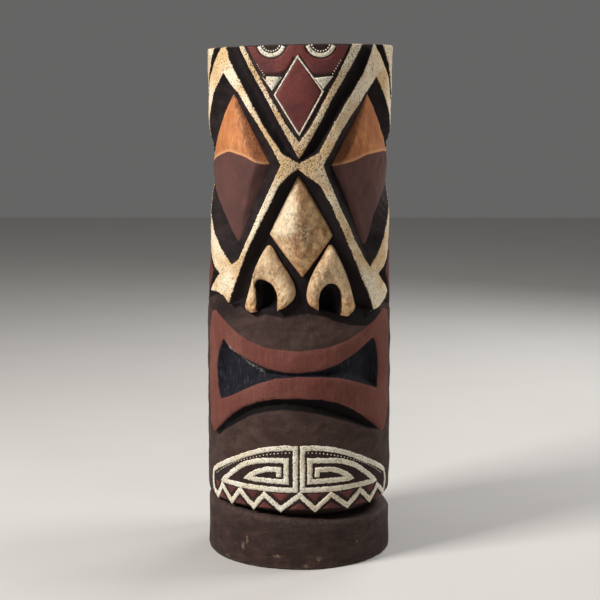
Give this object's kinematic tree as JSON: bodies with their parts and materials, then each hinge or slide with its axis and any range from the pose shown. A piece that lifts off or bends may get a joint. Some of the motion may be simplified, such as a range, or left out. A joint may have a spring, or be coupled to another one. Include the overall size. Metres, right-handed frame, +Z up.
{
  "type": "carved tiki figure",
  "caption": "Free-standing carved and painted wooden log figure with a large mask-like face, let-in eyes and nose, standing on a round turned base.",
  "frame": {"origin": "middle of the underside of the base", "axes": "+Z up along the log; the face looks along -Y; +X is on the right of someone who looks at the face"},
  "size_m": [0.181, 0.181, 0.5],
  "materials": {
    "stained_carved_wood": "dark brown stain with black grooves and cream, red and white paint, satin",
    "stained_base_wood": "dark brown stain with vertical grain and scuffs, satin",
    "amber_wood": "orange-brown wood with visible grain, lower facets stained darker",
    "pale_wood": "pale tan wood, scorched brown towards the middle, satin",
    "peg_wood": "bare wood, unfinished",
    "screw_steel": "plain steel"
  },
  "bodies": {
    "root": {"carved_log": "stained_carved_wood", "base": "stained_base_wood", "left_eye": "amber_wood", "right_eye": "amber_wood", "nose": "pale_wood", "left_nostril": "pale_wood", "right_nostril": "pale_wood", "left_eye_peg": "peg_wood", "right_eye_peg": "peg_wood", "nose_peg": "peg_wood", "left_nostril_peg": "peg_wood", "right_nostril_peg": "peg_wood", "base_spigot": "peg_wood", "base_screw_1": "screw_steel", "base_screw_2": "screw_steel", "base_screw_3": "screw_steel"}
  },
  "joints": []
}
